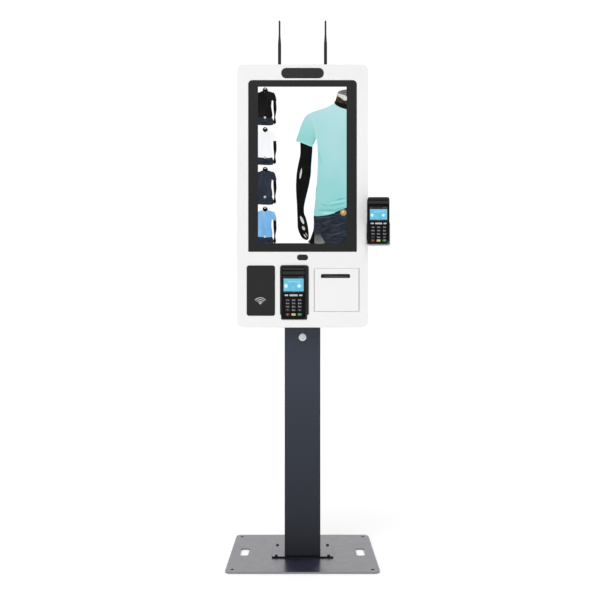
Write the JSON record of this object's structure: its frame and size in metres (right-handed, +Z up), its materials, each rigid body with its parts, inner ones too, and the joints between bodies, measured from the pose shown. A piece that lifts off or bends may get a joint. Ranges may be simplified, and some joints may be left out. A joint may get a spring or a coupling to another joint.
{
  "type": "self checkout kiosk",
  "caption": "Free-standing self checkout kiosk: white portrait touch-screen head with reader, terminals and receipt printer on a dark column and floor plate.",
  "frame": {"origin": "middle of the base plate's underside, on the floor", "axes": "+Z up, -Y towards the user in front of the screen, +X to that user's right"},
  "size_m": [0.5401, 0.4, 1.849],
  "materials": {
    "base_paint": "satin powder coat",
    "column_paint": "semi-gloss powder coat",
    "white_paint": "satin white powder coat",
    "black_steel": "black oxide",
    "steel": "zinc plated",
    "lock_chrome": "polished nickel",
    "black_glass": "black bordered toughened glass",
    "display": "moulded back",
    "dark_window": "gloss tinted window",
    "black_plastic": "fine textured plastic",
    "board": "solder mask",
    "brass": "gold plated connector",
    "terminal_plastic": "soft black plastic",
    "lcd": "lit colour display",
    "key_dark": "silicone rubber key",
    "key_red": "silicone rubber key",
    "key_yellow": "silicone rubber key",
    "key_green": "silicone rubber key",
    "key_light": "silicone rubber key",
    "printer_plastic": "moulded chassis",
    "rubber": "roller rubber",
    "paper": "thermal paper, stood in for by plastic",
    "bracket_paint": "light grey powder coat"
  },
  "bodies": {
    "stand": {"base_plate": "base_paint", "foot_flange": "column_paint", "m6_bolts": "black_steel", "column_body": "column_paint", "head_shell": "white_paint", "front_panel": "white_paint", "touch_glass": "black_glass", "display_module": "display", "display_brackets": "steel", "camera_window": "dark_window", "camera_module": "black_plastic", "scanner_window": "dark_window", "scanner_module": "black_plastic", "nfc_cover": "black_plastic", "nfc_board": "board", "mainboard": "board", "power_supply": "display", "speakers": "black_plastic", "power_inlet": "black_plastic", "antenna_sockets": "brass", "pos_tray": "black_plastic", "pos_housing": "terminal_plastic", "pos_screen": "lcd", "printer_hinge_pins": "steel", "printer_body": "printer_plastic", "side_bracket": "bracket_paint"},
    "cover": {"column_cover": "column_paint", "lock_housing": "lock_chrome"},
    "lock": {"lock_plug": "lock_chrome", "lock_cam": "steel"},
    "rear_door": {"rear_door": "white_paint"},
    "antenna_left_base": {"antenna_left_base": "black_plastic"},
    "antenna_left_mast": {"antenna_left_mast": "black_plastic"},
    "antenna_right_base": {"antenna_right_base": "black_plastic"},
    "antenna_right_mast": {"antenna_right_mast": "black_plastic"},
    "printer_door": {"printer_door": "white_paint"},
    "paper_roll": {"paper_roll": "paper"},
    "printer_platen": {"printer_platen": "rubber"},
    "side_cradle": {"side_cradle": "bracket_paint", "side_housing": "terminal_plastic", "side_screen": "lcd"},
    "side_keypad": {"side_keypad": "key_dark"},
    "pos_key_1": {"pos_key_1": "key_dark"},
    "pos_key_2": {"pos_key_2": "key_dark"},
    "pos_key_3": {"pos_key_3": "key_dark"},
    "pos_key_4": {"pos_key_4": "key_dark"},
    "pos_key_5": {"pos_key_5": "key_dark"},
    "pos_key_6": {"pos_key_6": "key_dark"},
    "pos_key_7": {"pos_key_7": "key_dark"},
    "pos_key_8": {"pos_key_8": "key_dark"},
    "pos_key_9": {"pos_key_9": "key_dark"},
    "pos_key_star": {"pos_key_star": "key_dark"},
    "pos_key_0": {"pos_key_0": "key_dark"},
    "pos_key_hash": {"pos_key_hash": "key_dark"},
    "pos_key_cancel": {"pos_key_cancel": "key_red"},
    "pos_key_clear": {"pos_key_clear": "key_yellow"},
    "pos_key_enter": {"pos_key_enter": "key_green"},
    "pos_key_left": {"pos_key_left": "key_light"},
    "pos_key_menu": {"pos_key_menu": "key_light"},
    "pos_key_right": {"pos_key_right": "key_light"}
  },
  "joints": [
    {"name": "cover_tilt", "type": "hinge", "parent": "stand", "child": "cover", "pos_m": [0, -0.057, 0.024], "axis": [1, 0, 0], "range_deg": [0, 20]},
    {"name": "lock_turn", "type": "hinge", "parent": "cover", "child": "lock", "pos_m": [0, -0.06, 0.76], "axis": [0, 1, 0], "range_deg": [0, 90]},
    {"name": "rear_door_swing", "type": "hinge", "parent": "stand", "child": "rear_door", "pos_m": [-0.186, 0.035, 1.223], "axis": [0, 0, 1], "range_deg": [0, 110]},
    {"name": "antenna_left_swivel", "type": "hinge", "parent": "stand", "child": "antenna_left_base", "pos_m": [-0.079, -0.05, 1.68], "axis": [0, 0, 1], "range_deg": [-180, 180]},
    {"name": "antenna_left_fold", "type": "hinge", "parent": "antenna_left_base", "child": "antenna_left_mast", "pos_m": [-0.079, -0.05, 1.689], "axis": [-1, 0, 0], "range_deg": [0, 90]},
    {"name": "antenna_right_swivel", "type": "hinge", "parent": "stand", "child": "antenna_right_base", "pos_m": [0.079, -0.05, 1.68], "axis": [0, 0, 1], "range_deg": [-180, 180]},
    {"name": "antenna_right_fold", "type": "hinge", "parent": "antenna_right_base", "child": "antenna_right_mast", "pos_m": [0.079, -0.05, 1.689], "axis": [-1, 0, 0], "range_deg": [0, 90]},
    {"name": "printer_door_swing", "type": "hinge", "parent": "stand", "child": "printer_door", "pos_m": [0.18625, -0.107, 0.9185], "axis": [0, 0, 1], "range_deg": [0, 95]},
    {"name": "paper_roll_spin", "type": "hinge", "parent": "stand", "child": "paper_roll", "pos_m": [0.1104, -0.058, 0.895], "axis": [1, 0, 0], "continuous": true},
    {"name": "platen_spin", "type": "hinge", "parent": "stand", "child": "printer_platen", "pos_m": [0.1104, -0.088, 0.9568], "axis": [1, 0, 0], "continuous": true},
    {"name": "side_swivel", "type": "hinge", "parent": "stand", "child": "side_cradle", "pos_m": [0.2508, -0.09, 1.143], "axis": [0, 0, 1], "range_deg": [0, 45]},
    {"name": "side_keys_press", "type": "slide", "parent": "side_cradle", "child": "side_keypad", "axis": [0, 1, 0], "range_m": [0, 0.0011], "stiffness_N_per_m": 400, "springref_m": -0.0008},
    {"name": "pos_key_1_press", "type": "slide", "parent": "stand", "child": "pos_key_1", "axis": [0, 1, 0], "range_m": [0, 0.0012], "stiffness_N_per_m": 300, "springref_m": -0.0005},
    {"name": "pos_key_2_press", "type": "slide", "parent": "stand", "child": "pos_key_2", "axis": [0, 1, 0], "range_m": [0, 0.0012], "stiffness_N_per_m": 300, "springref_m": -0.0005},
    {"name": "pos_key_3_press", "type": "slide", "parent": "stand", "child": "pos_key_3", "axis": [0, 1, 0], "range_m": [0, 0.0012], "stiffness_N_per_m": 300, "springref_m": -0.0005},
    {"name": "pos_key_4_press", "type": "slide", "parent": "stand", "child": "pos_key_4", "axis": [0, 1, 0], "range_m": [0, 0.0012], "stiffness_N_per_m": 300, "springref_m": -0.0005},
    {"name": "pos_key_5_press", "type": "slide", "parent": "stand", "child": "pos_key_5", "axis": [0, 1, 0], "range_m": [0, 0.0012], "stiffness_N_per_m": 300, "springref_m": -0.0005},
    {"name": "pos_key_6_press", "type": "slide", "parent": "stand", "child": "pos_key_6", "axis": [0, 1, 0], "range_m": [0, 0.0012], "stiffness_N_per_m": 300, "springref_m": -0.0005},
    {"name": "pos_key_7_press", "type": "slide", "parent": "stand", "child": "pos_key_7", "axis": [0, 1, 0], "range_m": [0, 0.0012], "stiffness_N_per_m": 300, "springref_m": -0.0005},
    {"name": "pos_key_8_press", "type": "slide", "parent": "stand", "child": "pos_key_8", "axis": [0, 1, 0], "range_m": [0, 0.0012], "stiffness_N_per_m": 300, "springref_m": -0.0005},
    {"name": "pos_key_9_press", "type": "slide", "parent": "stand", "child": "pos_key_9", "axis": [0, 1, 0], "range_m": [0, 0.0012], "stiffness_N_per_m": 300, "springref_m": -0.0005},
    {"name": "pos_key_star_press", "type": "slide", "parent": "stand", "child": "pos_key_star", "axis": [0, 1, 0], "range_m": [0, 0.0012], "stiffness_N_per_m": 300, "springref_m": -0.0005},
    {"name": "pos_key_0_press", "type": "slide", "parent": "stand", "child": "pos_key_0", "axis": [0, 1, 0], "range_m": [0, 0.0012], "stiffness_N_per_m": 300, "springref_m": -0.0005},
    {"name": "pos_key_hash_press", "type": "slide", "parent": "stand", "child": "pos_key_hash", "axis": [0, 1, 0], "range_m": [0, 0.0012], "stiffness_N_per_m": 300, "springref_m": -0.0005},
    {"name": "pos_key_cancel_press", "type": "slide", "parent": "stand", "child": "pos_key_cancel", "axis": [0, 1, 0], "range_m": [0, 0.0012], "stiffness_N_per_m": 300, "springref_m": -0.0005},
    {"name": "pos_key_clear_press", "type": "slide", "parent": "stand", "child": "pos_key_clear", "axis": [0, 1, 0], "range_m": [0, 0.0012], "stiffness_N_per_m": 300, "springref_m": -0.0005},
    {"name": "pos_key_enter_press", "type": "slide", "parent": "stand", "child": "pos_key_enter", "axis": [0, 1, 0], "range_m": [0, 0.0012], "stiffness_N_per_m": 300, "springref_m": -0.0005},
    {"name": "pos_key_left_press", "type": "slide", "parent": "stand", "child": "pos_key_left", "axis": [0, 1, 0], "range_m": [0, 0.0012], "stiffness_N_per_m": 300, "springref_m": -0.0005},
    {"name": "pos_key_menu_press", "type": "slide", "parent": "stand", "child": "pos_key_menu", "axis": [0, 1, 0], "range_m": [0, 0.0012], "stiffness_N_per_m": 300, "springref_m": -0.0005},
    {"name": "pos_key_right_press", "type": "slide", "parent": "stand", "child": "pos_key_right", "axis": [0, 1, 0], "range_m": [0, 0.0012], "stiffness_N_per_m": 300, "springref_m": -0.0005}
  ],
  "couplings": [
    {"joint": "platen_spin", "follows": "paper_roll_spin", "ratio": 4.1667}
  ]
}
